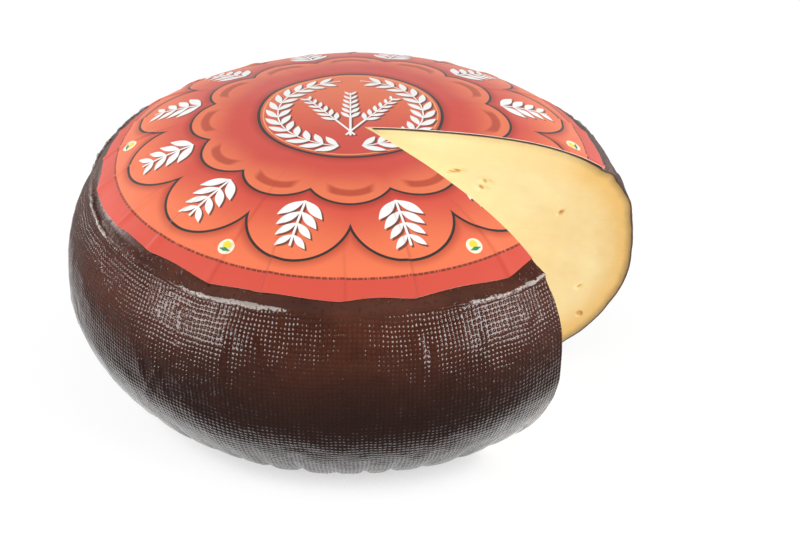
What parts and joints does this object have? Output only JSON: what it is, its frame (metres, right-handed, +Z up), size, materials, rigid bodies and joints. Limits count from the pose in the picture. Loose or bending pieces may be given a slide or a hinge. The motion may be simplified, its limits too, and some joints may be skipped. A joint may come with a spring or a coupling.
{
  "type": "abbey cheese wheel with a wedge cut out",
  "caption": "Round, bulging wheel of red-brown rinded semi-soft cheese with a printed paper disc on its crown and one upright wedge cut out down to the foot.",
  "frame": {"origin": "middle of the whole wheel's foot, on the plane it rests on", "axes": "+Z up, out of the crown; -Y to the front, towards the viewer; +X to the right, where the wedge is cut out"},
  "size_m": [0.2149, 0.2134, 0.1093],
  "materials": {
    "cheese": "dark red-brown coated rind with the weave of a press cloth, glossy, over pale yellow paste",
    "paper": "glossy printed paper in orange and red"
  },
  "bodies": {
    "root": {"cheese_wheel": "cheese", "paper_label": "paper"}
  },
  "joints": []
}
